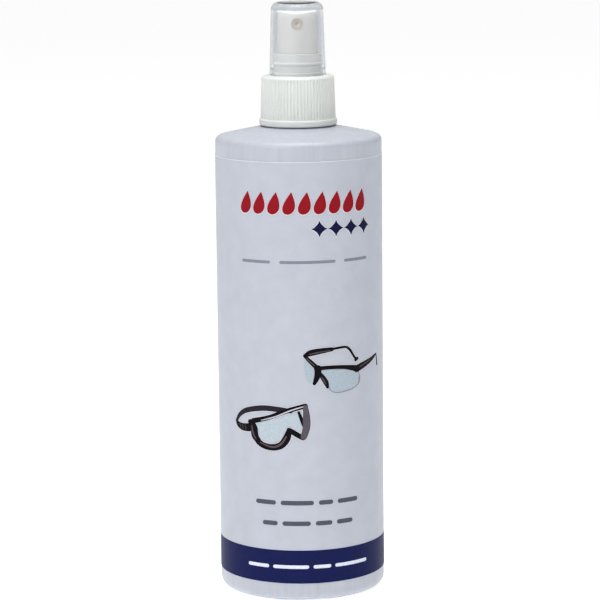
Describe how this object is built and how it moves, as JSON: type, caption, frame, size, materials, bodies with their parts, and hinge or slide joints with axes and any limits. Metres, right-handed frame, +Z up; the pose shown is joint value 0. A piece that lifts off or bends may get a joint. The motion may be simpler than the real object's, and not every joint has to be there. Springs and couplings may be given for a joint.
{
  "type": "lens cleaning spray",
  "caption": "Cylinder bottle of lens cleaner with a ribbed screw closure, a finger-pressed fine-mist pump that turns to aim, and a pull-off clear overcap.",
  "frame": {"origin": "centre of the bottle's base, on the surface it stands on", "axes": "+Z up along the bottle, -Y the way the nozzle faces, +X to the right of someone facing the label"},
  "size_m": [0.0622, 0.0622, 0.2202],
  "materials": {
    "bottle": "satin",
    "label": "satin",
    "cleaning_fluid": "gloss",
    "closure": "satin",
    "gasket": "matte",
    "pump_plastic": "satin",
    "actuator": "satin",
    "nozzle_insert": "satin",
    "dip_tube": "satin",
    "steel": "polished",
    "spring_steel": "satin",
    "overcap": "gloss"
  },
  "bodies": {
    "bottle": {"bottle": "bottle", "label": "label", "cleaning_fluid": "cleaning_fluid"},
    "pump": {"pump_housing": "pump_plastic", "chaplet": "closure", "neck_gasket": "gasket", "dip_tube": "dip_tube"},
    "closure": {"closure": "closure"},
    "overcap": {"overcap": "overcap"},
    "inlet_ball": {"inlet_ball": "steel"},
    "spring": {"return_spring": "spring_steel"},
    "button": {"actuator": "actuator", "nozzle_insert": "nozzle_insert", "stem": "pump_plastic", "valve_rod": "pump_plastic", "valve_spring": "spring_steel"},
    "piston": {"piston": "pump_plastic"}
  },
  "joints": [
    {"name": "closure_unscrew", "type": "hinge", "parent": "pump", "child": "closure", "pos_m": [0, 0, 0.184], "axis": [0, 0, 1], "range_deg": [0, 540]},
    {"name": "pump_lift", "type": "slide", "parent": "bottle", "child": "pump", "axis": [0, 0, 1], "range_m": [0, 0.00476]},
    {"name": "actuator_turn", "type": "hinge", "parent": "pump", "child": "spring", "pos_m": [0, 0, 0.2], "axis": [0, 0, 1], "continuous": true},
    {"name": "actuator_press", "type": "slide", "parent": "spring", "child": "button", "axis": [0, 0, -1], "range_m": [0, 0.0055], "stiffness_N_per_m": 900, "springref_m": -0.004, "deforming": ["return_spring"]},
    {"name": "piston_lift", "type": "slide", "parent": "button", "child": "piston", "axis": [0, 0, 1], "range_m": [0, 0.0005], "stiffness_N_per_m": 400, "springref_m": -0.002, "deforming": ["valve_spring"]},
    {"name": "inlet_ball_lift", "type": "slide", "parent": "pump", "child": "inlet_ball", "axis": [0, 0, 1], "range_m": [0, 0.0015]},
    {"name": "overcap_pull", "type": "slide", "parent": "pump", "child": "overcap", "axis": [0, 0, 1], "range_m": [0, 0.04]}
  ],
  "couplings": [
    {"joint": "closure_unscrew", "follows": "pump_lift", "rad_per_m": 1979}
  ]
}
